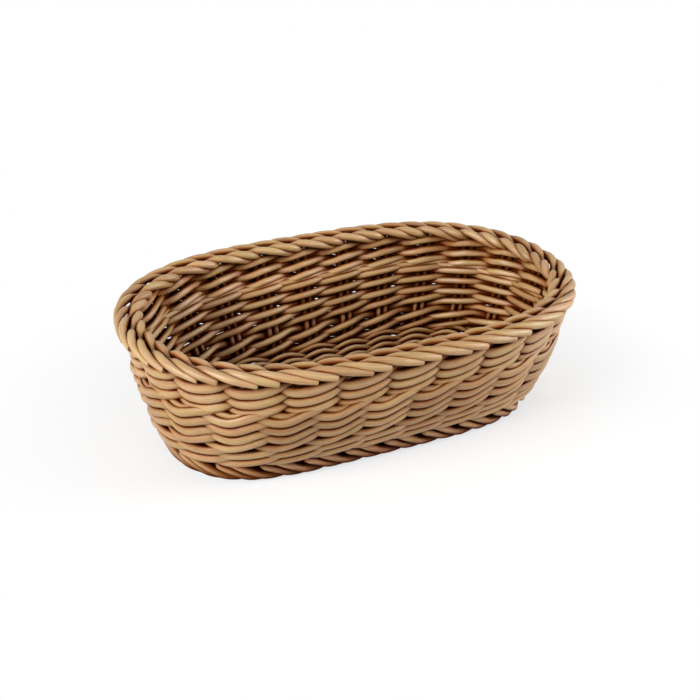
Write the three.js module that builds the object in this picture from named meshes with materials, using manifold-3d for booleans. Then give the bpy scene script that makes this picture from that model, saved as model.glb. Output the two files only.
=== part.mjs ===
// Oval pastry basket, woven from round strands on pairs of upright rods.
// Millimetres, +Z up. The origin is on the table under the middle of the basket, with X along its length.

import * as THREE from 'three';
import Module from 'manifold-3d';

// Overall sizes, measured over the strands
const LENGTH = 230;
const WIDTH = 148;
const HEIGHT = 70.4;

// The oval that the weaving starts from, along the middle of the wall
const FLOOR_LENGTH = 193;
const FLOOR_WIDTH = 91;

// How flat the oval's long sides and its ends are: 2 is an ellipse and more is nearer to a box
const FLOOR_SIDE_FULLNESS = 4.6;
const FLOOR_END_FULLNESS = 2;
const RIM_SIDE_FULLNESS = 3.2;
const RIM_END_FULLNESS = 2.08;

// How far the wall bows out between floor and rim, as a share of what it widens
const SIDE_BOW = 0.3;
const END_BOW = -0.12;

// Strands: the rods stand upright, the weavers run round, the sticks carry the floor
const ROD = 3;               // corner to corner, a four-sided rod
const WEAVER = 2.13;         // across the flats
const STICK = 2.4;
const STICK_BITE = 0.2;      // how deep the cross sticks are let into the long ones
const CLEARANCE = 0.3;       // between strands that touch in the real basket
const FLAT = 0.1;            // of a rod's width, cut away where it lies on the table
const ROD_PITCH = 3.3;       // between the two rods of a pair

// The weave
const STAKES = 24;           // pairs of upright rods, a number that 2 and 3 go into
const FOOT_HEIGHT = 13.6;    // table to the first round of weaving
const BORDER_HEIGHT = 7.6;   // last round of weaving to the top
const GROUP_GAP = 0.6;       // extra room between the kinds of weave
const UPSETT_ROUNDS = 2;
const PAIRING_ROUNDS = 3;
const STEP_STAKE = 22;       // where each strand climbs to its next round, over one stake gap
const START_STAGGER = 0.1;   // how much later than the one before it each strand starts, in stake gaps

// Room for strands that pass each other on a slant, in clearances beside a rod and as a share at the floor
const WALL_SLANT = 3.1;
const FLOOR_SLANT = 1.7;

// The floor
const FLOOR_LEVEL = 10.4;    // middle of the woven floor
const FLOOR_PITCH = 4.2;     // between the strands of the floor
const FLOOR_ROUNDS = 3;      // rounds of each of the two floor weavers
const SPINE = 0.58;          // where the cross sticks pass the long ones, as a share of their ends
const LONG_STICK_PITCH = 4;

const COLOR = 0xc39a63;
const ROUGHNESS = 0.62;

// How finely the oval is worked out, and how far apart its direction and its lean are measured
const OVAL_POINTS = 720;
const OVAL_TRIES = 8;
const OVAL_LEVELS = 50;      // to a millimetre of height
const NEARBY = 0.02;         // stake gaps
const ABOVE = 1;             // millimetres

// Values that follow from the sizes
const rodHalf = ROD / 2;
const borderUnit = ROD + CLEARANCE;
const footBottom = rodHalf - FLAT * ROD;
const wallBottom = FOOT_HEIGHT;
const wallTop = HEIGHT - BORDER_HEIGHT;
const weaveHeight = wallTop - wallBottom - 2 * GROUP_GAP;
const rounds = Math.floor(weaveHeight / (2 * (WEAVER + CLEARANCE)));
const pitch = weaveHeight / rounds;
const waleRounds = rounds - UPSETT_ROUNDS - PAIRING_ROUNDS;
const waleBottom = wallBottom + UPSETT_ROUNDS * pitch + GROUP_GAP;
const pairingBottom = waleBottom + waleRounds * pitch + GROUP_GAP;

// The border seen in section, from where a rod leaves the wall to its cut end on the outside.
// Each place is along the rim in stake gaps, then outwards and up from the top of the wall in rods.
const BORDER_PATH = [
  [0.30, -1.05, 0.40],
  [0.65, -1.75, 1.15],
  [1.00, -0.95, 1.78],
  [1.25, -0.10, 0.90],
  [1.60, 0.62, 1.62],
  [2.00, 1.45, 1.38],
  [2.60, 1.72, 0.15],
];
const BORDER_REACH = 1.72;
const ROD_STEP = 0.5;        // how far the left rod's strokes run ahead of its twin's, in stake gaps

// The foot border in section, downwards: along in stake gaps, outwards in rods, and up as a share of its
// height above a rod that lies on the table
const FOOT_PATH = [
  [0.15, 0.10, 0.80],
  [0.55, -0.40, 0.44],
  [0.90, -0.90, 0],
  [1.45, -2.20, 0],
];

const clamp = (k) => Math.min(1, Math.max(0, k));
const mix = (a, b, k) => a + (b - a) * k;

// Half the length or width of the wall's middle line at height z
function halfSize(floorSize, rimSize, bow, z) {
  const k = clamp((z - wallBottom) / (wallTop - wallBottom));
  const rim = rimSize / 2 - BORDER_REACH * borderUnit - rodHalf;
  return mix(floorSize / 2, rim, k + bow * k * (1 - k));
}

// The wall's middle line at height z, as points that are evenly spaced by angle, with the length run so far
const ovals = new Map();
function oval(z) {
  const key = Math.round(z * OVAL_LEVELS);
  if (ovals.has(key)) return ovals.get(key);
  const k = clamp((z - wallBottom) / (wallTop - wallBottom));
  const a = halfSize(FLOOR_LENGTH, LENGTH, END_BOW, z);
  const b = halfSize(FLOOR_WIDTH, WIDTH, SIDE_BOW, z);
  const p = mix(FLOOR_SIDE_FULLNESS, RIM_SIDE_FULLNESS, k);
  const q = mix(FLOOR_END_FULLNESS, RIM_END_FULLNESS, k);
  const points = [];
  const run = [0];
  for (let i = 0; i <= OVAL_POINTS; i += 1) {
    const angle = (i / OVAL_POINTS) * 2 * Math.PI;
    const c = Math.abs(Math.cos(angle)) / a;
    const s = Math.abs(Math.sin(angle)) / b;
    let r = 1 / Math.hypot(c, s);
    for (let n = 0; n < OVAL_TRIES; n += 1) {
      const u = (r * c) ** p;
      const v = (r * s) ** q;
      r -= ((u + v - 1) * r) / (p * u + q * v);
    }
    points.push(new THREE.Vector2(r * Math.cos(angle), r * Math.sin(angle)));
    if (i > 0) run.push(run[i - 1] + points[i].distanceTo(points[i - 1]));
  }
  const result = { points, run, total: run[OVAL_POINTS] };
  ovals.set(key, result);
  return result;
}

// A point on the wall's middle line: stake counts anticlockwise from the +X end, seen from above
function onOval(stake, z) {
  const { points, run, total } = oval(z);
  const turns = stake / STAKES;
  const target = (turns - Math.floor(turns)) * total;
  let low = 0;
  let high = run.length - 1;
  while (high - low > 1) {
    const middle = (low + high) >> 1;
    if (run[middle] <= target) low = middle;
    else high = middle;
  }
  const k = (target - run[low]) / (run[high] - run[low]);
  return points[low].clone().lerp(points[high], k);
}

// A place in the wall: point, level outward direction, and the wall's own normal, which leans with it
function onWall(stake, z) {
  const here = onOval(stake, z);
  const ahead = onOval(stake + NEARBY, z);
  const behind = onOval(stake - NEARBY, z);
  const above = onOval(stake, z + ABOVE);
  const below = onOval(stake, z - ABOVE);
  const along = new THREE.Vector3(ahead.x - behind.x, ahead.y - behind.y, 0).normalize();
  const level = new THREE.Vector3(along.y, -along.x, 0);
  const rise = new THREE.Vector3(above.x - below.x, above.y - below.y, 2 * ABOVE).normalize();
  const normal = new THREE.Vector3().crossVectors(along, rise).normalize();
  return { point: new THREE.Vector3(here.x, here.y, z), along, level, normal };
}

// Sweep a four-sided section along points. Each place gives a point and the direction that the section faces.
function sweep(places, width, height, turned = false) {
  const vertices = [];
  const faces = [];
  const last = places.length - 1;
  const corners = turned
    ? [[1, 0], [0, 1], [-1, 0], [0, -1]]
    : [[1, 1], [-1, 1], [-1, -1], [1, -1]];
  places.forEach(({ point, facing }, i) => {
    const before = places[Math.max(0, i - 1)].point;
    const after = places[Math.min(last, i + 1)].point;
    const toHere = point.clone().sub(before).normalize();
    const fromHere = after.clone().sub(point).normalize();
    const along = toHere.add(fromHere).normalize();
    const out = facing.clone().addScaledVector(along, -facing.dot(along)).normalize();
    const side = new THREE.Vector3().crossVectors(along, out);
    corners.forEach(([x, y]) => {
      const v = point.clone().addScaledVector(out, (x * width) / 2).addScaledVector(side, (y * height) / 2);
      vertices.push(v.x, v.y, v.z);
    });
  });
  const sides = corners.length;
  for (let i = 0; i < last; i += 1) {
    for (let j = 0; j < sides; j += 1) {
      const a = i * sides + j;
      const b = i * sides + ((j + 1) % sides);
      faces.push(a, b, b + sides, a, b + sides, a + sides);
    }
  }
  for (let j = 1; j < sides - 1; j += 1) {
    const end = last * sides;
    faces.push(0, j + 1, j);
    faces.push(end, end + j, end + j + 1);
  }
  const geometry = new THREE.BufferGeometry();
  geometry.setAttribute('position', new THREE.Float32BufferAttribute(vertices, 3));
  geometry.setIndex(faces);
  return geometry;
}

const wasm = await Module();
wasm.setup();

function toSolid(geometry) {
  const vertProperties = new Float32Array(geometry.attributes.position.array);
  const triVerts = new Uint32Array(geometry.index.array);
  return new wasm.Manifold(new wasm.Mesh({ numProp: 3, vertProperties, triVerts }));
}

function toGeometry(solid) {
  const mesh = solid.getMesh();
  const geometry = new THREE.BufferGeometry();
  geometry.setAttribute('position', new THREE.BufferAttribute(new Float32Array(mesh.vertProperties), 3));
  geometry.setIndex(new THREE.BufferAttribute(new Uint32Array(mesh.triVerts), 1));
  return geometry;
}

// Everything below the table, to be cut from the foot so that it stands flat
function underTable() {
  const box = new THREE.BoxGeometry(2 * LENGTH, 2 * WIDTH, HEIGHT);
  box.deleteAttribute('normal');
  box.deleteAttribute('uv');
  const corners = [];
  const index = [];
  const position = box.attributes.position;
  for (let i = 0; i < box.index.count; i += 1) {
    const v = new THREE.Vector3().fromBufferAttribute(position, box.index.getX(i));
    let found = corners.findIndex((c) => c.distanceTo(v) < 1e-6);
    if (found < 0) found = corners.push(v) - 1;
    index.push(found);
  }
  const geometry = new THREE.BufferGeometry();
  geometry.setAttribute('position', new THREE.Float32BufferAttribute(corners.flatMap((c) => c.toArray()), 3));
  geometry.setIndex(index);
  geometry.translate(0, 0, -HEIGHT / 2);
  return toSolid(geometry);
}

// One rod: its stroke of the foot border, the upright, and its stroke of the rim border
function rod(stake, hand) {
  const places = [];
  const place = (along, z, out) => {
    const wall = onWall(along, z);
    places.push({ point: wall.point.addScaledVector(wall.level, out), facing: wall.level });
  };
  const upright = (z) => {
    place(stake + (((hand * ROD_PITCH) / 2) * STAKES) / oval(z).total, z, 0);
  };
  const skip = hand > 0 ? 0 : 1;
  const step = -skip * ROD_STEP;
  FOOT_PATH.slice(skip).reverse().forEach(([along, out, up]) => {
    place(stake + step + along, footBottom + up * (FOOT_HEIGHT - footBottom), out * ROD);
  });
  upright(wallBottom - CLEARANCE);
  upright((wallBottom + wallTop) / 2);
  upright(wallTop);
  BORDER_PATH.slice(skip).forEach(([along, out, up]) => {
    place(stake + step + along, wallTop + up * borderUnit, out * borderUnit);
  });
  return sweep(places, ROD, ROD, true);
}

// How a strand runs outside some stakes and then inside one. Each place is along in stake gaps from the
// stake that it starts behind, outwards in wall offsets, and up in quarters of the pitch.
const PAIRING = { period: 2, path: [[0.2, -0.9, -1], [0.8, 0.9, -1], [1.2, 0.9, 1], [1.8, -0.9, 1]] };
const WALE = { period: 3, path: [[0, -1.05, 0], [0.5, 0, -1], [1.15, 1.3, -0.95], [1.85, 1.3, 0.95], [2.5, 0, 1]] };

// From the wall's middle to the middle of a strand that passes a rod, with room for its slant
const narrowGap = oval(wallBottom).total / STAKES;
const wallOffset = (rodHalf + WALL_SLANT * CLEARANCE + WEAVER / 2) / (1 - ROD_PITCH / narrowGap);

// The stretch of a strand between two stakes, with its cut ends worked out from the places beside them
function cutAt(strokes, first, last) {
  const kept = [];
  strokes.forEach((here, i) => {
    const before = strokes[Math.max(0, i - 1)];
    [first, last].filter((end) => before.stake < end && here.stake > end).forEach((end) => {
      const k = (end - before.stake) / (here.stake - before.stake);
      kept.push({ stake: end, out: mix(before.out, here.out, k), up: mix(before.up, here.up, k) });
    });
    if (here.stake >= first && here.stake <= last) kept.push(here);
  });
  return kept;
}

// A weaver winds up the wall. It stays level round the basket and climbs one pitch at the step.
function weaver({ period, path }, strand, bottom, turns) {
  const first = STEP_STAKE + 1 - STAKES;
  const last = STEP_STAKE + STAKES * (turns - 1);
  const strokes = [];
  for (let behind = first - period + strand; behind <= last; behind += period) {
    path.forEach(([along, out, up]) => strokes.push({ stake: behind + along, out, up }));
  }
  const places = cutAt(strokes, first + START_STAGGER * strand, last).map(({ stake, out, up }) => {
    const round = (stake - STEP_STAKE) / STAKES + 1;
    const climbed = clamp((round - Math.floor(round)) * STAKES);
    const level = Math.max(0, Math.floor(round) + climbed - 1);
    const z = bottom + pitch * (0.5 + level + up / 4);
    const wall = onWall(stake, z);
    return { point: wall.point.addScaledVector(wall.normal, out * wallOffset), facing: wall.normal };
  });
  return sweep(places, WEAVER, WEAVER);
}

// The floor: three long sticks lie side by side, nine cross sticks are let into them, and their ends fan out
// as spokes, one to each pair of rods. The spokes are level at the wall.
const quarter = STAKES / 4;
const stickLift = STICK / 2 - STICK_BITE;
const coreHalf = LONG_STICK_PITCH + STICK / 2 + CLEARANCE;
const floorInset = rodHalf + 3 * CLEARANCE;
const floorOffset = FLOOR_SLANT * (STICK / 2 + CLEARANCE + WEAVER / 2);
const up = new THREE.Vector3(0, 0, 1);

function isLong(stake) {
  const fromEnd = stake % (2 * quarter);
  return Math.min(fromEnd, 2 * quarter - fromEnd) <= 1;
}

function spoke(stake) {
  const { x, y } = onOval(stake, wallBottom);
  const outer = new THREE.Vector3(x, y, FLOOR_LEVEL);
  const inner = new THREE.Vector3(x * SPINE, Math.sign(y) * coreHalf, FLOOR_LEVEL + stickLift);
  if (isLong(stake)) {
    const coreEnd = onOval(2, wallBottom).x * SPINE + STICK / 2 + CLEARANCE;
    const row = stake % (2 * quarter) === 0 ? 0 : Math.sign(y);
    inner.set(Math.sign(x) * coreEnd, row * LONG_STICK_PITCH, FLOOR_LEVEL - stickLift);
  }
  const tip = outer.clone().lerp(inner, floorInset / outer.distanceTo(inner));
  return { outer, inner, tip };
}

const stick = (points) => sweep(points.map((point) => ({ point, facing: up })), STICK, STICK);

function crossStick(stake) {
  const far = spoke(stake);
  const near = spoke(STAKES - stake);
  return stick([far.tip, far.inner, near.inner, near.tip]);
}

function longStick(row) {
  const right = spoke((STAKES + row) % STAKES);
  const left = spoke(2 * quarter - row);
  return stick([right.tip, right.inner, left.inner, left.tip]);
}

// The two floor weavers spiral inwards side by side, one over the sticks that the other goes under
function floorWeaver(strand) {
  const places = [];
  for (let stake = 0; stake <= STAKES * FLOOR_ROUNDS; stake += 1) {
    const { outer, inner } = spoke(stake % STAKES);
    const row = strand + (2 * stake) / STAKES;
    const inwards = floorInset + CLEARANCE + WEAVER / 2 + row * FLOOR_PITCH;
    const point = outer.clone().lerp(inner, inwards / outer.distanceTo(inner));
    const over = (stake + strand) % 2 === 0 ? 1 : -1;
    point.z += over * floorOffset;
    places.push({ point, facing: up });
  }
  return sweep(places, WEAVER, WEAVER);
}

const basket = new THREE.Group();

function addPiece(name, geometry) {
  const material = new THREE.MeshStandardMaterial({ color: COLOR, roughness: ROUGHNESS, metalness: 0 });
  geometry.computeVertexNormals();
  const mesh = new THREE.Mesh(geometry, material);
  mesh.name = name;
  basket.add(mesh);
}

const table = underTable();
for (let stake = 0; stake < STAKES; stake += 1) {
  const number = String(stake + 1).padStart(2, '0');
  ['left', 'right'].forEach((side, i) => {
    const standing = toSolid(rod(stake, 2 * i - 1)).subtract(table);
    addPiece(`stake_${number}_${side}`, toGeometry(standing));
  });
}
for (let strand = 0; strand < WALE.period; strand += 1) {
  addPiece(`upsett_weaver_${strand + 1}`, weaver(WALE, strand, wallBottom, UPSETT_ROUNDS));
  addPiece(`wale_weaver_${strand + 1}`, weaver(WALE, strand, waleBottom, waleRounds));
}
for (let strand = 0; strand < PAIRING.period; strand += 1) {
  addPiece(`pairing_weaver_${strand + 1}`, weaver(PAIRING, strand, pairingBottom, PAIRING_ROUNDS));
}
let sticks = toSolid(crossStick(2));
for (let stake = 3; stake <= 2 * quarter - 2; stake += 1) {
  sticks = sticks.add(toSolid(crossStick(stake)));
}
for (let row = -1; row <= 1; row += 1) {
  sticks = sticks.add(toSolid(longStick(row)));
}
addPiece('floor_sticks', toGeometry(sticks));
for (let strand = 0; strand < 2; strand += 1) {
  addPiece(`floor_weaver_${strand + 1}`, floorWeaver(strand));
}

export default basket;
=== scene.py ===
# Oval pastry basket: cane strands woven on pairs of rods, with a plaited rim and a roped foot.
# Sizes are in millimetres up to the meshes, which are in metres.

import math
import random

import bpy
import numpy as np
from mathutils import Matrix
from mathutils import Vector


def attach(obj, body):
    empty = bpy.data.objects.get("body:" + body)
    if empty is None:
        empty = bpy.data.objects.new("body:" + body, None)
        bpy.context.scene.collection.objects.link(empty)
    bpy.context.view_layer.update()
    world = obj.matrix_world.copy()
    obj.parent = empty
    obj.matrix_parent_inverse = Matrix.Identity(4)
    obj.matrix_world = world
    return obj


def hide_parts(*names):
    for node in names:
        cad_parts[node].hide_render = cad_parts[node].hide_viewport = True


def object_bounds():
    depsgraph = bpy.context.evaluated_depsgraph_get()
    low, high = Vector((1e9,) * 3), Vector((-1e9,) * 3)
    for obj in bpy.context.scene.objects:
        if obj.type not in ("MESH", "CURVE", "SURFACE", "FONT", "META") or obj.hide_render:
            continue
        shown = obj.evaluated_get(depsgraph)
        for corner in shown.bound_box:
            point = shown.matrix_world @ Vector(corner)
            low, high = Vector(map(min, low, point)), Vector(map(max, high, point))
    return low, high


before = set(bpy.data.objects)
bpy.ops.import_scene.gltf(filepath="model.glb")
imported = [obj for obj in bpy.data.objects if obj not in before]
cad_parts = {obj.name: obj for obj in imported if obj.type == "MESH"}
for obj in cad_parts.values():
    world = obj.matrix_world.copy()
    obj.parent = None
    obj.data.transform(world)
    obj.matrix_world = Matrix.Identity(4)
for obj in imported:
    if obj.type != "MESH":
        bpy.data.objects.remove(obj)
cad_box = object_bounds()
random.seed(7)

MM = 0.001
LENGTH, WIDTH, HEIGHT = [side / MM for side in Vector(cad_box[1]) - Vector(cad_box[0])]

# The strands
ROD = 2.9                   # in the wall, where the weavers press on it
RIM_ROD = 3.9
FOOT_ROD = 4.0
WEAVER_HEIGHT = (3.6, 5.1)  # inside and outside the wall, where a weaver lies flatter
WEAVER_DEPTH = 3.1
STICK = 2.4
FLOOR_WEAVER = 2.9
SIDES = 12
STEP = 1.4                  # along a strand, between the rings of its mesh
UNEVEN = 0.04               # how much a strand's width wanders
WAVE_LENGTHS = (11, 23, 47) # of that wandering
END_ROUND = 0.3             # how far a cut end is rounded off
FIRST_SIDE = (0.3, 0.2, 1.0)    # any direction that no strand starts along

# The wall: its middle line is an oval that grows from floor to rim
STAKES = 24
FLOOR_LENGTH = 193
FLOOR_WIDTH = 91
WALL_BOTTOM = 13.6
BORDER_HEIGHT = 7.4
BORDER_REACH = 7.2          # from the middle of the wall to the outside of the rim
FLOOR_SIDE_FULLNESS = 4.6
FLOOR_END_FULLNESS = 2
RIM_SIDE_FULLNESS = 3.2
RIM_END_FULLNESS = 2.08
SIDE_BOW = 0.3
END_BOW = -0.12
ROD_PITCH = 3.9             # between the two rods of a pair
SPLAY = 0.1                 # how much further apart they are under the rim
SPLAY_POWER = 4             # how late on the way up they part
ROD_SHARES = (0, 0.33, 0.67, 0.98)  # of the wall's height, where a rod's route is set
wall_top = HEIGHT - BORDER_HEIGHT

# One stroke of a strand of each weave: along in stake gaps, outwards in swings, and lift
SWING = 2.9                 # from the middle of the wall to a weaver that passes a rod
UPSETT_STROKE = [
    (0.0, -1.0, 0.4),
    (0.5, -0.4, -1.6),
    (1.0, 0.9, -2.0),
    (1.5, 1.2, -1.0),
    (2.0, 1.25, 1.4),
    (2.5, 0.2, 2.8),
]
CLIMBING_STROKE = [
    (-0.1, -0.95, 2.3),
    (0.4, -0.25, 1.0),
    (0.9, 0.9, -1.3),
    (1.3, 1.5, -0.9),
    (1.9, 1.4, 4.0),
    (2.3, 0.1, 4.7),
]
WALE_STROKE = [
    (-0.1, -1.0, 1.1),
    (0.4, -0.75, 0.1),
    (0.9, 0.75, -0.7),
    (1.4, 1.6, -1.6),
    (1.9, 1.3, 2.0),
    (2.4, 0.15, 2.3),
]
TUCKED_STROKE = [
    (0.0, -0.6, 1.0),
    (0.5, -0.4, 0.4),
    (1.0, 0.3, 0.6),
    (1.5, 1.1, -1.8),
    (2.0, 0.5, 1.6),
    (2.5, 0.0, 1.8),
]
PAIRING_STROKE = [
    (0.0, -1.0, 1.5),
    (0.25, -0.7, 0.2),
    (0.5, 0.4, -0.6),
    (0.7, 0.85, -1.3),
    (1.0, 1.0, -0.5),
    (1.3, 0.9, 1.6),
    (1.55, 0.1, 2.5),
    (1.8, -0.6, 2.0),
]

# The rounds of weaving from the foot up: the height of the middle, the stroke, and how tall it lies
ROUNDS = [
    (17.0, UPSETT_STROKE, 1.0),
    (22.2, UPSETT_STROKE, 1.0),
    (27.8, CLIMBING_STROKE, 1.0),
    (34.2, WALE_STROKE, 1.0),
    (39.9, WALE_STROKE, 1.0),
    (45.3, WALE_STROKE, 1.0),
    (47.6, TUCKED_STROKE, 1.0),
    (49.2, PAIRING_STROKE, 1.06),
    (54.6, PAIRING_STROKE, 1.08),
    (60.4, PAIRING_STROKE, 1.2),
]
UPSETT_ROUNDS, WALE_ROUNDS, PAIRING_ROUNDS = 2, 5, 3
STEP_STAKE = 22             # where the rounds climb
WEAVER_STEP = 0.04          # along a weaver, in stake gaps
# From inside a stake to the middle of the wall, in stake gaps, by the number of strands
MIDWAY = {2: 0.43, 3: 0.62}

# A rod's stroke in the rim: along in stake gaps, outwards, and up from the top of the wall
RIM_PATH = [
    (0.30, -2.8, 1.3),
    (0.65, -4.7, 4.2),
    (1.00, -2.9, 5.5),
    (1.28, -0.5, 3.3),
    (1.55, 1.9, 5.5),
    (1.85, 4.2, 5.4),
]
RIM_ENDS = {
    -1: [(2.15, 5.1, 4.0), (2.50, 4.8, 2.3)],
    1: [(2.12, 5.1, 4.2), (2.40, 4.9, 2.7)],
}
RIM_STEP = 0.45             # how far the left rod's stroke runs ahead of its twin's

# A rod's stroke in the foot, from its end upwards: along in stake gaps, outwards, and height
FOOT_PATH = [
    (2.30, -6.4, 8.6),
    (1.85, -6.6, 4.6),
    (1.40, -4.8, 2.3),
    (1.10, -3.4, 2.2),
    (0.82, -1.7, 3.8),
    (0.52, -0.2, 7.4),
    (0.26, 0.7, 10.8),
    (0.05, 0.5, 13.2),
]
FOOT_STEP = 0.4             # the same in the foot

# The woven floor
FLOOR_LEVEL = 10.6
FLOOR_EDGE = 14.4           # the floor rises a little towards the wall
SPINE = 0.58                # where the cross sticks pass the long ones, as a share of their ends
LONG_STICK_PITCH = 4
CORE_GAP = 0.3              # from the long sticks to the inner ends of the rows
EDGE_GAP = 0.5              # from the rods to the outer ends of the sticks
FLOOR_ROWS = 13
ROW_START = -0.3            # the outer row lies this far, in rows, past the ends of the sticks
ROW_SQUEEZE = 0.1           # and the rows lie closer by this much of one row in all

# The table of the wall's middle line
NEARBY = 0.05               # in stake gaps, to either side, for a direction along the wall
TABLE_ABOVE = 6             # how far it goes past the rim, and below the table
TABLE_BELOW = 2
TABLE_COLUMNS = 960
DIRECTIONS = 1440
NEWTON_STEPS = 12
HAIR = 1e-6                 # keeps the end of a ring off its start
LAST_ROW = 1.001            # keeps the highest place inside the table

# Looks of the cane, with painted shade in the crevices between strands
PAINTED_SHADE_REACH = 9                 # how far apart strands still get painted shade from each other
SHINE = (0.6, 1.0, 0.0, 0.75)   # how open a place has to be to shine, and how much it does: the shine is cut where the painted shade falls
ROUGHNESS = (0.55, 0.36)    # between and on the streaks
BUMP_STRENGTH = 0.8
BUMP_DEPTH = 0.25
STREAK_SHARE = 0.8
PATCH_SHARE = 0.7
CUT_COLOR = (0.42, 0.26, 0.13, 1)
TONES = [
    (0.0, (0.37, 0.210, 0.085, 1)),
    (0.35, (0.41, 0.243, 0.101, 1)),
    (0.65, (0.44, 0.268, 0.118, 1)),
    (1.0, (0.48, 0.306, 0.148, 1)),
]
DRIFT_TINTS = [
    (0.36, (1.0, 0.90, 0.80, 1)),
    (0.50, (1.0, 1.0, 1.0, 1)),
    (0.64, (1.0, 1.05, 0.92, 1)),
]
STREAK_TINTS = [
    (0.30, (0.66, 0.60, 0.52, 1)),
    (0.48, (1.0, 1.0, 1.0, 1)),
    (0.75, (1.14, 1.15, 1.16, 1)),
]
PATCH_TINTS = [
    (0.30, (0.82, 0.78, 0.72, 1)),
    (0.52, (1.0, 1.0, 1.0, 1)),
]
# Painted shade: how much darker and redder the colour is painted where strands lie close, from deep
# crevices to open places
PAINTED_SHADE_TINTS = [
    (0.30, (0.10, 0.022, 0.005, 1)),
    (0.66, (0.36, 0.140, 0.036, 1)),
    (0.88, (0.82, 0.63, 0.42, 1)),
    (1.0, (1.0, 1.0, 1.0, 1)),
]

# The floor, the sky and the lamps, in metres and watts
FLOOR_SIZE = 12.0
FLOOR_FADE = (0.10, 0.20, 0.6, 1.0) # from and to where it turns white, and how white at both
FLOOR_SEEN = (0.88, 0.88, 0.88, 1)
FLOOR_BOUNCE = (0.44, 0.39, 0.32, 1)    # its colour for the rays that light the basket
SKY_LEVEL = 0.25            # how much light the white sky gives
LAMP_TARGET = (0, 0, 0.03)
LAMP_SIZE = 0.8
LAMPS = {
    "left_lamp": ((-1.3, -0.4, 0.72), 31),
    "right_lamp": ((1.3, -0.6, 0.5), 25),
}


def mix(a, b, k):
    return a + (b - a) * k


# The wall's middle line, worked out once for every millimetre of height
TABLE_HEIGHTS = np.arange(-float(TABLE_BELOW), HEIGHT + TABLE_ABOVE)


def wall_table():
    k = np.clip((TABLE_HEIGHTS - WALL_BOTTOM) / (wall_top - WALL_BOTTOM), 0, 1)[:, None]
    half_length = mix(FLOOR_LENGTH / 2, LENGTH / 2 - BORDER_REACH, k + END_BOW * k * (1 - k))
    half_width = mix(FLOOR_WIDTH / 2, WIDTH / 2 - BORDER_REACH, k + SIDE_BOW * k * (1 - k))
    p = mix(FLOOR_SIDE_FULLNESS, RIM_SIDE_FULLNESS, k)
    q = mix(FLOOR_END_FULLNESS, RIM_END_FULLNESS, k)
    angle = np.linspace(0, 2 * np.pi, DIRECTIONS + 1)
    c = np.abs(np.cos(angle)) / half_length
    s = np.abs(np.sin(angle)) / half_width
    r = 1 / np.hypot(c, s)
    for _ in range(NEWTON_STEPS):
        u = (r * c) ** p
        v = (r * s) ** q
        r = r - (u + v - 1) * r / (p * u + q * v)
    x = r * np.cos(angle)
    y = r * np.sin(angle)
    table = np.zeros((len(TABLE_HEIGHTS), TABLE_COLUMNS + 1, 2))
    for row in range(len(TABLE_HEIGHTS)):
        run = np.concatenate([[0], np.cumsum(np.hypot(np.diff(x[row]), np.diff(y[row])))])
        places = np.linspace(0, run[-1], TABLE_COLUMNS + 1)
        table[row, :, 0] = np.interp(places, run, x[row])
        table[row, :, 1] = np.interp(places, run, y[row])
    return table


TABLE = wall_table()


def on_oval(stake, z):
    """The wall's middle line at each stake and height.

    Stakes count anticlockwise from the +X end."""
    row = np.clip(z - TABLE_HEIGHTS[0], 0, len(TABLE_HEIGHTS) - LAST_ROW)
    column = np.mod(stake / STAKES, 1) * TABLE_COLUMNS
    i = row.astype(int)
    j = np.minimum(column.astype(int), TABLE_COLUMNS - 1)
    up = (row - i)[:, None]
    along = (column - j)[:, None]
    below = mix(TABLE[i, j], TABLE[i, j + 1], along)
    above = mix(TABLE[i + 1, j], TABLE[i + 1, j + 1], along)
    return mix(below, above, up)


def unit(vectors):
    return vectors / np.linalg.norm(vectors, axis=1)[:, None]


def on_wall(stake, z):
    """Points of the wall, the level outward direction there, and the wall's own normal."""
    ahead = on_oval(stake + NEARBY, z) - on_oval(stake - NEARBY, z)
    rise = on_oval(stake, z + 1) - on_oval(stake, z - 1)
    along = unit(np.column_stack([ahead, np.zeros(len(z))]))
    slope = unit(np.column_stack([rise, np.full(len(z), 2.0)]))
    level = np.column_stack([along[:, 1], -along[:, 0], np.zeros(len(z))])
    return np.column_stack([on_oval(stake, z), z]), level, unit(np.cross(along, slope))


def stake_gap(z):
    """The way from stake to stake along the wall at height z."""
    ring = on_oval(np.linspace(0, STAKES, DIRECTIONS) - HAIR, np.full(DIRECTIONS, float(z)))
    return np.linalg.norm(np.diff(ring, axis=0), axis=1).sum() / STAKES


def smooth(points, per_stretch=10):
    """A soft curve through the points."""
    points = np.array(points, float)
    padded = np.vstack([2 * points[0] - points[1], points, 2 * points[-1] - points[-2]])
    result = []
    for a, b, c, d in zip(padded, padded[1:], padded[2:], padded[3:]):
        for k in np.arange(per_stretch) / per_stretch:
            bend = (2 * a - 5 * b + 4 * c - d) * k * k + (3 * b - a - 3 * c + d) * k ** 3
            result.append(b + 0.5 * ((c - a) * k + bend))
    result.append(points[-1])
    return np.array(result)


def evenly(points, step=STEP):
    """The same route with its points an equal step apart."""
    run = np.concatenate([[0], np.cumsum(np.linalg.norm(np.diff(points[:, :3], axis=0), axis=1))])
    places = np.linspace(0, run[-1], max(3, int(round(run[-1] / step)) + 1))
    return np.column_stack([np.interp(places, run, column) for column in points.T]), places


def wander(places, amount):
    """A slow seeded wobble along a strand."""
    result = np.zeros(len(places))
    for wave_length in WAVE_LENGTHS:
        phase = random.uniform(0, 2 * math.pi)
        result += np.sin(places * 2 * np.pi / wave_length + phase)
    return result * amount / len(WAVE_LENGTHS)


def turned_along(tangents):
    """A direction across the strand that doesn't twist around it."""
    side = np.cross(tangents[0], FIRST_SIDE)
    sides = []
    for tangent in tangents:
        side = side - tangent * np.dot(side, tangent)
        side /= np.linalg.norm(side)
        sides.append(side)
    return np.array(sides)


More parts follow.
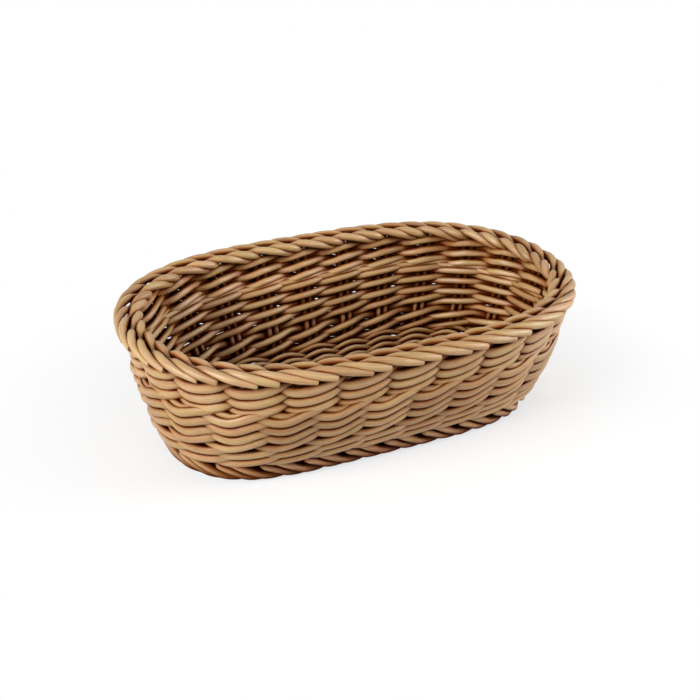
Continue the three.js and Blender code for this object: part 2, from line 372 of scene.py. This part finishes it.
def tube(name, points, depth, height=None, faces=None):
    """A strand along the points, with cut ends and the attributes that its material reads.

    A flattened strand has its own height, and turns its flat face to the directions in faces."""
    facing = np.zeros((len(points), 3)) if faces is None else faces
    depths = np.broadcast_to(depth, len(points))
    heights = depths if height is None else np.broadcast_to(height, len(points))
    route, run = evenly(np.column_stack([points, depths, heights, facing]))
    centres = route[:, :3]
    tangents = unit(np.gradient(centres, axis=0))
    uneven = 1 + wander(run, UNEVEN)
    half_depth = route[:, 3] / 2 * uneven
    half_height = route[:, 4] / 2 * uneven
    if faces is None:
        sides = turned_along(tangents)
    else:
        facing = route[:, 5:8]
        sides = unit(facing - tangents * (facing * tangents).sum(axis=1)[:, None])
    others = np.cross(tangents, sides)

    # Each end gets a smaller ring on the cut, and the ring beside it steps back
    ring_of = [0] + list(range(len(centres))) + [len(centres) - 1]
    shift = np.zeros(len(ring_of))
    shrink = np.ones(len(ring_of))
    shift[1] = END_ROUND
    shift[-2] = -END_ROUND
    shrink[0] = shrink[-1] = 1 - END_ROUND / half_depth[0]
    seed = np.array([random.uniform(0, 900) for _ in range(3)])
    tone = random.random()
    angle = np.arange(SIDES) * 2 * np.pi / SIDES
    vertices = []
    grain = []
    for ring, back, small in zip(ring_of, shift, shrink):
        across = half_depth[ring] * small * np.cos(angle)
        upward = half_height[ring] * small * np.sin(angle)
        centre = centres[ring] + tangents[ring] * back
        vertices.append(centre + np.outer(across, sides[ring]) + np.outer(upward, others[ring]))
        grain.append(np.column_stack([np.full(SIDES, run[ring]), across, upward]))
    vertices = np.vstack(vertices + [centres[:1], centres[-1:]])
    grain = np.vstack(grain + [[[run[0], 0, 0], [run[-1], 0, 0]]]) + seed
    polygons = []
    rings = len(ring_of)
    for i in range(rings - 1):
        for j in range(SIDES):
            k = (j + 1) % SIDES
            near, far = i * SIDES, (i + 1) * SIDES
            polygons.append((near + j, near + k, far + k, far + j))
    start = rings * SIDES
    last = (rings - 1) * SIDES
    for j in range(SIDES):
        k = (j + 1) % SIDES
        polygons.append((start, k, j))
        polygons.append((start + 1, last + j, last + k))
    mesh = bpy.data.meshes.new(name)
    mesh.from_pydata((vertices * MM).tolist(), [], polygons)
    mesh.shade_smooth()
    cut = np.zeros(len(vertices))
    cut[:SIDES] = 1
    cut[last:] = 1
    tones = np.full(len(vertices), tone)
    mesh.attributes.new("grain", "FLOAT_VECTOR", "POINT").data.foreach_set("vector", grain.ravel())
    for label, values in (("cut", cut), ("tone", tones)):
        mesh.attributes.new(label, "FLOAT", "POINT").data.foreach_set("value", values)
    piece = bpy.data.objects.new(name, mesh)
    bpy.context.scene.collection.objects.link(piece)
    return piece


def joined(name, pieces):
    """One object from several strands."""
    bpy.ops.object.select_all(action="DESELECT")
    for piece in pieces:
        piece.select_set(True)
    bpy.context.view_layer.objects.active = pieces[0]
    bpy.ops.object.join()
    pieces[0].name = name
    return pieces[0]


def finish_piece(piece, node, material):
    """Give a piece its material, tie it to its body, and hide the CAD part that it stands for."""
    piece.data.materials.clear()
    piece.data.materials.append(material)
    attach(piece, "root")
    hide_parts(node)


# Cane


def socket_mix(tree, kind, blend, factor, a, b):
    node = tree.nodes.new("ShaderNodeMix")
    node.data_type = kind
    if kind == "RGBA":
        node.blend_type = blend
    pairs = {"FLOAT": (0, 2, 3), "RGBA": (0, 6, 7)}[kind]
    for index, value in zip(pairs, (factor, a, b)):
        if isinstance(value, bpy.types.NodeSocket):
            tree.links.new(value, node.inputs[index])
        else:
            node.inputs[index].default_value = value
    return node.outputs[{"FLOAT": 0, "RGBA": 2}[kind]]


def attribute(tree, name, output):
    node = tree.nodes.new("ShaderNodeAttribute")
    node.attribute_name = name
    return node.outputs[output]


def stretched_noise(tree, vector, scale, detail):
    mapping = tree.nodes.new("ShaderNodeMapping")
    mapping.inputs["Scale"].default_value = scale
    tree.links.new(vector, mapping.inputs["Vector"])
    noise = tree.nodes.new("ShaderNodeTexNoise")
    noise.inputs["Scale"].default_value = 1
    noise.inputs["Detail"].default_value = detail
    tree.links.new(mapping.outputs["Vector"], noise.inputs["Vector"])
    return noise.outputs["Fac"]


def ramp(tree, value, stops):
    node = tree.nodes.new("ShaderNodeValToRGB")
    elements = node.color_ramp.elements
    elements[0].position, elements[0].color = stops[0]
    elements[1].position, elements[1].color = stops[-1]
    for position, color in stops[1:-1]:
        elements.new(position).color = color
    tree.links.new(value, node.inputs["Fac"])
    return node.outputs["Color"]


def map_range(tree, value, limits):
    node = tree.nodes.new("ShaderNodeMapRange")
    for socket, limit in zip(("From Min", "From Max", "To Min", "To Max"), limits):
        node.inputs[socket].default_value = limit
    tree.links.new(value, node.inputs["Value"])
    return node.outputs[0]


def cane_material():
    material = bpy.data.materials.new("cane")
    material.use_nodes = True
    tree = material.node_tree
    shader = tree.nodes["Principled BSDF"]
    grain = attribute(tree, "grain", "Vector")
    tone = attribute(tree, "tone", "Fac")
    cut = attribute(tree, "cut", "Fac")
    drift = stretched_noise(tree, grain, (0.022, 0.05, 0.05), 2)
    streaks = stretched_noise(tree, grain, (0.05, 1.5, 1.5), 4)
    fibres = stretched_noise(tree, grain, (0.22, 6, 6), 3)
    patches = stretched_noise(tree, grain, (0.16, 0.3, 0.3), 3)
    color = ramp(tree, tone, TONES)
    tint = ramp(tree, drift, DRIFT_TINTS)
    streak = ramp(tree, streaks, STREAK_TINTS)
    patch = ramp(tree, patches, PATCH_TINTS)
    color = socket_mix(tree, "RGBA", "MULTIPLY", 1.0, color, tint)
    color = socket_mix(tree, "RGBA", "MULTIPLY", STREAK_SHARE, color, streak)
    color = socket_mix(tree, "RGBA", "MULTIPLY", PATCH_SHARE, color, patch)
    color = socket_mix(tree, "RGBA", "MIX", cut, color, CUT_COLOR)
    # Painted shade: an ambient occlusion node darkens the colour towards red-brown where strands
    # lie close, and turns the shine down there
    open_air = tree.nodes.new("ShaderNodeAmbientOcclusion")
    open_air.inputs["Distance"].default_value = PAINTED_SHADE_REACH * MM
    open_air.samples = 6
    painted_shade = ramp(tree, open_air.outputs["AO"], PAINTED_SHADE_TINTS)
    color = socket_mix(tree, "RGBA", "MULTIPLY", 1.0, color, painted_shade)
    shine = map_range(tree, open_air.outputs["AO"], SHINE)
    tree.links.new(shine, shader.inputs["Specular IOR Level"])
    tree.links.new(color, shader.inputs["Base Color"])
    rough = socket_mix(tree, "FLOAT", "MIX", streaks, *ROUGHNESS)
    tree.links.new(rough, shader.inputs["Roughness"])
    height = socket_mix(tree, "FLOAT", "MIX", 0.5, streaks, fibres)
    bump = tree.nodes.new("ShaderNodeBump")
    bump.inputs["Strength"].default_value = BUMP_STRENGTH
    bump.inputs["Distance"].default_value = BUMP_DEPTH * MM
    tree.links.new(height, bump.inputs["Height"])
    tree.links.new(bump.outputs["Normal"], shader.inputs["Normal"])
    return material


cane = cane_material()


# The rods


def rod(stake, hand):
    """A rod's route, from the end of its foot stroke to the end of its rim stroke."""
    skip = 1 if hand < 0 else 0
    beside = hand * ROD_PITCH / 2
    path = []
    for along, out, z in FOOT_PATH[:len(FOOT_PATH) - skip]:
        path.append((stake + along - skip * FOOT_STEP, out, z, FOOT_ROD))
    for share in ROD_SHARES:
        z = mix(WALL_BOTTOM, wall_top, share)
        apart = beside * (1 + SPLAY * share ** SPLAY_POWER)
        path.append((stake + apart / stake_gap(z), 0, z, ROD))
    for along, out, up in RIM_PATH[skip:] + RIM_ENDS[hand]:
        path.append((stake + along - skip * RIM_STEP, out, wall_top + up, RIM_ROD))
    route = smooth(path)
    points, level, _ = on_wall(route[:, 0], route[:, 2])
    return points + level * route[:, 1:2], route[:, 3]


for stake in range(STAKES):
    for side, hand in (("left", -1), ("right", 1)):
        node = f"stake_{stake + 1:02d}_{side}"
        finish_piece(tube(f"woven_{node}", *rod(stake, hand)), node, cane)


# The weavers


def stroke(points, period, t):
    """Out and lift at the phase t of a stroke that repeats. It passes inside a stake at t = 0."""
    repeated = []
    for turn in (-period, 0, period):
        repeated += [(along + turn, out, lift) for along, out, lift in points]
    curve = smooth(repeated)
    phase = np.mod(t, period)
    return np.interp(phase, curve[:, 0], curve[:, 1]), np.interp(phase, curve[:, 0], curve[:, 2])


def level_at(along):
    """How many rounds a strand has climbed, counted from the first round at the foot."""
    turns = (along - STEP_STAKE) / STAKES + 1
    climbed = np.clip((turns - np.floor(turns)) * STAKES, 0, 1)
    climbed = climbed * climbed * (3 - 2 * climbed)
    return np.floor(turns) + climbed - 1


def weaver(strand, strands, first_round, count):
    """A strand's route through its rounds, its thickness, and the way that its flat face looks."""
    first = STEP_STAKE + 1 + STAKES * (first_round - 1)
    last = first + STAKES * count
    # It starts and ends between two stakes, in the middle of the wall, where the cut doesn't show
    first += (strand - first) % strands - MIDWAY[strands]
    last -= (last - strand) % strands - MIDWAY[strands]
    along = np.arange(first, last + WEAVER_STEP / 2, WEAVER_STEP)
    level = np.clip(level_at(along), first_round, first_round + count - 1)
    z = np.interp(level, range(len(ROUNDS)), [height for height, _, _ in ROUNDS])
    tallness = np.interp(level, range(len(ROUNDS)), [tall for _, _, tall in ROUNDS])
    out = np.zeros(len(along))
    for row in range(first_round, first_round + count):
        share = np.clip(1 - np.abs(level - row), 0, 1)
        swing, lift = stroke(ROUNDS[row][1], strands, along - strand)
        out += swing * share
        z += lift * share
    points, _, normal = on_wall(along, z)
    height = tallness * mix(*WEAVER_HEIGHT, np.clip(out, 0, 1))
    return points + normal * (out * SWING)[:, None], WEAVER_DEPTH, height, normal


bands = [
    ("upsett_weaver", 3, 0, UPSETT_ROUNDS),
    ("wale_weaver", 3, UPSETT_ROUNDS, WALE_ROUNDS),
    ("pairing_weaver", 2, UPSETT_ROUNDS + WALE_ROUNDS, PAIRING_ROUNDS),
]
for kind, strands, first_round, count in bands:
    for strand in range(strands):
        node = f"{kind}_{strand + 1}"
        route = weaver(strand, strands, first_round, count)
        finish_piece(tube(f"woven_{node}", *route), node, cane)


# The floor

core_half = LONG_STICK_PITCH + STICK / 2 + CORE_GAP
stick_lift = STICK / 2
floor_inset = ROD / 2 + EDGE_GAP
quarter = STAKES // 4


def is_long(stake):
    from_end = stake % (2 * quarter)
    return min(from_end, 2 * quarter - from_end) <= 1


def spoke(stake):
    """The outer and inner end of a floor stick, and where it meets the rods."""
    x, y = on_oval(np.array([float(stake)]), np.array([WALL_BOTTOM]))[0]
    outer = np.array([x, y, FLOOR_EDGE])
    if is_long(stake):
        core_end = on_oval(np.array([2.0]), np.array([WALL_BOTTOM]))[0][0] * SPINE + STICK
        row = 0 if stake % (2 * quarter) == 0 else math.copysign(1, y)
        side = row * LONG_STICK_PITCH
        inner = np.array([math.copysign(core_end, x), side, FLOOR_LEVEL - stick_lift])
    else:
        inner = np.array([x * SPINE, math.copysign(core_half, y), FLOOR_LEVEL + stick_lift])
    tip = mix(outer, inner, floor_inset / np.linalg.norm(outer - inner))
    return outer, inner, tip


def straight(points):
    """The same corners with a point halfway along each stretch."""
    result = []
    for a, b in zip(points, points[1:]):
        result += [a, mix(a, b, 0.5)]
    return np.vstack(result + [points[-1]])


def stick(name, one, other):
    """A stick from the tip of one spoke to the tip of the other."""
    return tube(name, straight([one[2], one[1], other[1], other[2]]), STICK)


sticks = []
for number in range(2, 2 * quarter - 1):
    sticks.append(stick(f"stick_{number}", spoke(number), spoke(STAKES - number)))
for row in (-1, 0, 1):
    right = spoke((STAKES + row) % STAKES)
    left = spoke(2 * quarter - row)
    sticks.append(stick(f"long_stick_{row + 1}", right, left))
finish_piece(joined("woven_floor_sticks", sticks), "floor_sticks", cane)


def floor_weaver(strand):
    """A strand that winds from the wall to the middle of the floor, over and under the sticks."""
    route = []
    for stake in range(STAKES * FLOOR_ROWS // 2 + 1):
        outer, inner, tip = spoke(stake % STAKES)
        row = (strand + 2 * stake / STAKES + ROW_START) / (FLOOR_ROWS - ROW_SQUEEZE)
        point = mix(tip, inner, row)
        over = 1 if (stake + strand) % 2 == 0 else -1
        point[2] += over * (STICK + FLOOR_WEAVER) / 2
        route.append(point)
    return smooth(route, 6)


for strand in range(2):
    node = f"floor_weaver_{strand + 1}"
    finish_piece(tube(f"woven_{node}", floor_weaver(strand), FLOOR_WEAVER), node, cane)


# Pale floor, soft lights, camera


def background_ray(tree):
    """1 for the rays that should find a white background, and 0 for those that light the basket."""
    rays = tree.nodes.new("ShaderNodeLightPath")
    result = rays.outputs["Is Camera Ray"]
    for kind in ("Is Glossy Ray", "Is Transmission Ray"):
        either = tree.nodes.new("ShaderNodeMath")
        either.operation = "MAXIMUM"
        tree.links.new(result, either.inputs[0])
        tree.links.new(rays.outputs[kind], either.inputs[1])
        result = either.outputs[0]
    return result


def pale_floor():
    material = bpy.data.materials.new("pale_floor")
    material.use_nodes = True
    tree = material.node_tree
    shader = tree.nodes["Principled BSDF"]
    shader.inputs["Roughness"].default_value = 0.9
    shader.inputs["Specular IOR Level"].default_value = 0.1
    white = tree.nodes.new("ShaderNodeEmission")
    white.inputs["Strength"].default_value = 1.0
    background = background_ray(tree)
    paint = socket_mix(tree, "RGBA", "MIX", background, FLOOR_BOUNCE, FLOOR_SEEN)
    tree.links.new(paint, shader.inputs["Base Color"])
    spot = tree.nodes.new("ShaderNodeNewGeometry")
    far = tree.nodes.new("ShaderNodeVectorMath")
    far.operation = "LENGTH"
    tree.links.new(spot.outputs["Position"], far.inputs[0])
    fade = map_range(tree, far.outputs["Value"], FLOOR_FADE)
    share = tree.nodes.new("ShaderNodeMath")
    share.operation = "MULTIPLY"
    tree.links.new(fade, share.inputs[1])
    tree.links.new(background, share.inputs[0])
    both = tree.nodes.new("ShaderNodeMixShader")
    tree.links.new(share.outputs[0], both.inputs[0])
    tree.links.new(shader.outputs[0], both.inputs[1])
    tree.links.new(white.outputs[0], both.inputs[2])
    tree.links.new(both.outputs[0], tree.nodes["Material Output"].inputs["Surface"])
    return material


bpy.ops.mesh.primitive_plane_add(size=FLOOR_SIZE)
ground = bpy.context.object
ground.name = "pale_ground"
ground.data.materials.append(pale_floor())

world = bpy.data.worlds.new("soft_white")
bpy.context.scene.world = world
world.use_nodes = True
sky = world.node_tree.nodes["Background"]
sky.inputs["Color"].default_value = (1, 1, 1, 1)
background = background_ray(world.node_tree)
strength = socket_mix(world.node_tree, "FLOAT", "MIX", background, SKY_LEVEL, 1.0)
world.node_tree.links.new(strength, sky.inputs["Strength"])


def lamp(name, position, watts):
    """A soft square lamp that faces the basket."""
    data = bpy.data.lights.new(name, "AREA")
    data.shape = "SQUARE"
    data.size = LAMP_SIZE
    data.energy = watts
    light = bpy.data.objects.new(name, data)
    light.location = position
    away = Vector(position) - Vector(LAMP_TARGET)
    light.rotation_euler = away.to_track_quat("Z", "Y").to_euler()
    bpy.context.scene.collection.objects.link(light)


for name, (position, watts) in LAMPS.items():
    lamp(name, position, watts)

# The camera, fitted to the photograph
AZIMUTH = math.radians(-25.15)
ELEVATION = math.radians(28.24)
ROLL = math.radians(0.73)
DISTANCE = 569.35
TARGET_HEIGHT = 35.0
FOCAL_PIXELS = 1141.95
IMAGE_PIXELS = 700
CENTRE_X = 0.8
CENTRE_Y = 0.99

back = Vector((
    math.sin(AZIMUTH) * math.cos(ELEVATION),
    -math.cos(AZIMUTH) * math.cos(ELEVATION),
    math.sin(ELEVATION),
))
level_right = Vector((math.cos(AZIMUTH), math.sin(AZIMUTH), 0))
level_up = back.cross(level_right)
right = level_right * math.cos(ROLL) + level_up * math.sin(ROLL)
up = level_up * math.cos(ROLL) - level_right * math.sin(ROLL)
camera_data = bpy.data.cameras.new("camera")
camera_data.sensor_width = 36
camera_data.lens = camera_data.sensor_width * FOCAL_PIXELS / IMAGE_PIXELS
camera_data.shift_x = -CENTRE_X / IMAGE_PIXELS
camera_data.shift_y = CENTRE_Y / IMAGE_PIXELS
camera_data.clip_start = 0.01
camera = bpy.data.objects.new("camera", camera_data)
turn = Matrix((right, up, back)).transposed().to_4x4()
eye = back * DISTANCE + Vector((0, 0, TARGET_HEIGHT))
camera.matrix_world = Matrix.Translation(eye * MM) @ turn
bpy.context.scene.collection.objects.link(camera)
bpy.context.scene.camera = camera
bpy.context.scene.view_settings.view_transform = "Standard"
